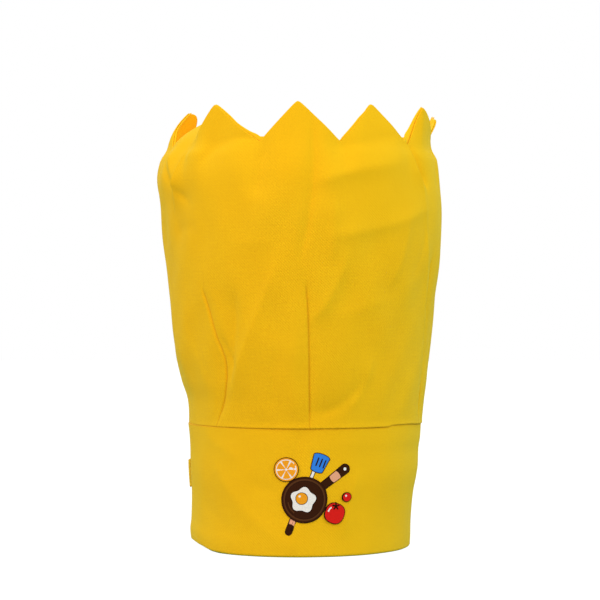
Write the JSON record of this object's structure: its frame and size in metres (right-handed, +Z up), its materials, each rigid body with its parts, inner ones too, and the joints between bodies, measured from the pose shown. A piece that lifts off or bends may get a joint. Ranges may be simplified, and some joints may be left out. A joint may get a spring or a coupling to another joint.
{
  "type": "chef hat",
  "caption": "Tall soft cotton chef hat with a stitched headband, a flaring crown with sewn darts, a zigzag crown-cut top edge and a closure tape at the back.",
  "frame": {"origin": "on the surface that the hat stands on, under the middle of its bounding box", "axes": "+Z up from the headband's hem to the tips of the points, -Y towards the front, +X to the right as seen from the front"},
  "size_m": [0.2059, 0.236, 0.3136],
  "materials": {
    "crown_cloth": "yellow cotton twill, matte",
    "lining_cloth": "inner face of the yellow cotton twill, matte",
    "loop_tape": "woven loop tape, fuzzy",
    "print_ink": "thin matte screen print in blue, red, orange and brown on the front of the headband"
  },
  "bodies": {
    "root": {"headband": "crown_cloth", "crown": "crown_cloth", "point_facing": "lining_cloth", "top_panel": "lining_cloth", "closure_tape": "loop_tape"}
  },
  "joints": []
}
